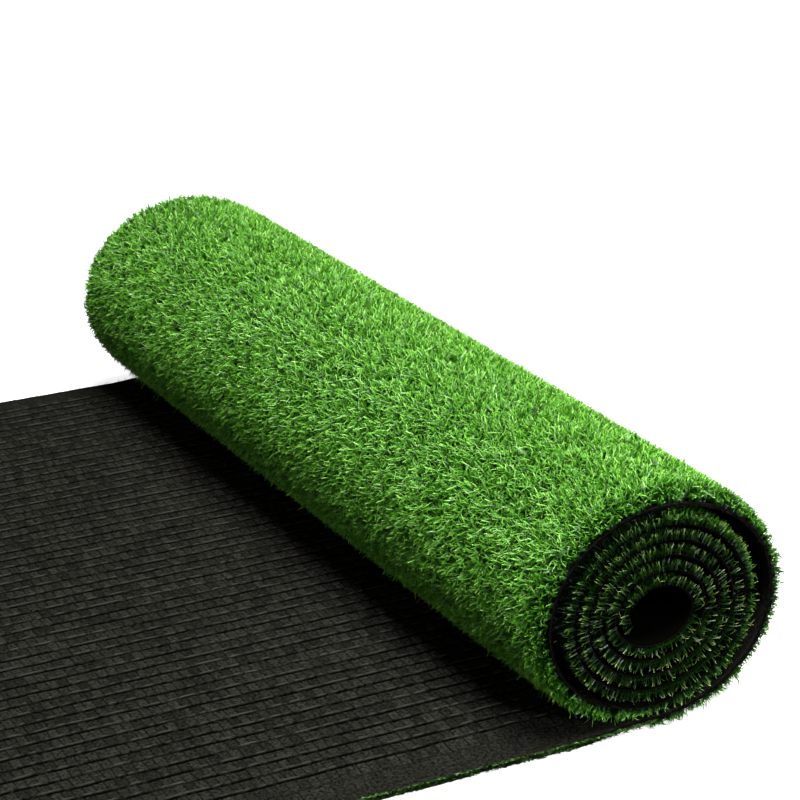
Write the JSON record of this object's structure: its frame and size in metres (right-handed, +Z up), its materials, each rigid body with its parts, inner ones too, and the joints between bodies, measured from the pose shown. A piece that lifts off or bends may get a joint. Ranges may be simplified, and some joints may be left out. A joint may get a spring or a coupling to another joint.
{
  "type": "practice putting mat",
  "caption": "Rolled strip of short-pile artificial turf with a dark stitched backing; half its outer turn unrolls and its free end curls up.",
  "frame": {"origin": "on the floor, under the middle of the whole mat as it lies rolled up", "axes": "+Z up, +Y along the coil's axis, the flat length's free end towards -X, the coil towards +X"},
  "size_m": [0.4296, 0.5, 0.1085],
  "materials": {
    "pile": "glossy curled turf blades in two greens, darker at the root",
    "primary_backing": "black woven polypropylene scrim, frayed at its cut edges",
    "latex_coat": "matt charcoal latex, ribbed by the stitch rows"
  },
  "bodies": {
    "tail": {"tail_pile": "pile", "tail_primary_backing": "primary_backing", "tail_latex_coat": "latex_coat"},
    "end_1": {"end_1_pile": "pile", "end_1_primary_backing": "primary_backing", "end_1_latex_coat": "latex_coat"},
    "end_2": {"end_2_pile": "pile", "end_2_primary_backing": "primary_backing", "end_2_latex_coat": "latex_coat"},
    "wrap_01": {"wrap_01_pile": "pile", "wrap_01_primary_backing": "primary_backing", "wrap_01_latex_coat": "latex_coat"},
    "wrap_02": {"wrap_02_pile": "pile", "wrap_02_primary_backing": "primary_backing", "wrap_02_latex_coat": "latex_coat"},
    "wrap_03": {"wrap_03_pile": "pile", "wrap_03_primary_backing": "primary_backing", "wrap_03_latex_coat": "latex_coat"},
    "wrap_04": {"wrap_04_pile": "pile", "wrap_04_primary_backing": "primary_backing", "wrap_04_latex_coat": "latex_coat"},
    "wrap_05": {"wrap_05_pile": "pile", "wrap_05_primary_backing": "primary_backing", "wrap_05_latex_coat": "latex_coat"},
    "wrap_06": {"wrap_06_pile": "pile", "wrap_06_primary_backing": "primary_backing", "wrap_06_latex_coat": "latex_coat"},
    "wrap_07": {"wrap_07_pile": "pile", "wrap_07_primary_backing": "primary_backing", "wrap_07_latex_coat": "latex_coat"},
    "roll": {"roll_pile": "pile", "roll_primary_backing": "primary_backing", "roll_latex_coat": "latex_coat"}
  },
  "joints": [
    {"name": "unroll_01", "type": "hinge", "parent": "tail", "child": "wrap_01", "pos_m": [0.16414, 0, 0.0065], "axis": [0, 1, 0], "range_deg": [0, 22.5]},
    {"name": "unroll_02", "type": "hinge", "parent": "wrap_01", "child": "wrap_02", "pos_m": [0.18679, 0, 0.01588], "axis": [0, 1, 0], "range_deg": [0, 22.5]},
    {"name": "unroll_03", "type": "hinge", "parent": "wrap_02", "child": "wrap_03", "pos_m": [0.20163, 0, 0.03072], "axis": [0, 1, 0], "range_deg": [0, 22.5]},
    {"name": "unroll_04", "type": "hinge", "parent": "wrap_03", "child": "wrap_04", "pos_m": [0.20831, 0, 0.04686], "axis": [0, 1, 0], "range_deg": [0, 22.5]},
    {"name": "unroll_05", "type": "hinge", "parent": "wrap_04", "child": "wrap_05", "pos_m": [0.20831, 0, 0.06277], "axis": [0, 1, 0], "range_deg": [0, 22.5]},
    {"name": "unroll_06", "type": "hinge", "parent": "wrap_05", "child": "wrap_06", "pos_m": [0.20176, 0, 0.07859], "axis": [0, 1, 0], "range_deg": [0, 22.5]},
    {"name": "unroll_07", "type": "hinge", "parent": "wrap_06", "child": "wrap_07", "pos_m": [0.18739, 0, 0.09296], "axis": [0, 1, 0], "range_deg": [0, 22.5]},
    {"name": "unroll_08", "type": "hinge", "parent": "wrap_07", "child": "roll", "pos_m": [0.16568, 0, 0.10195], "axis": [0, 1, 0], "range_deg": [0, 22.5]},
    {"name": "curl_end_1", "type": "hinge", "parent": "tail", "child": "end_1", "pos_m": [-0.11481, 0, 0.0065], "axis": [0, 1, 0], "range_deg": [0, 30]},
    {"name": "curl_end_2", "type": "hinge", "parent": "end_1", "child": "end_2", "pos_m": [-0.16481, 0, 0.0065], "axis": [0, 1, 0], "range_deg": [0, 30]}
  ],
  "couplings": [
    {"joint": "curl_end_2", "follows": "curl_end_1", "ratio": 1}
  ]
}
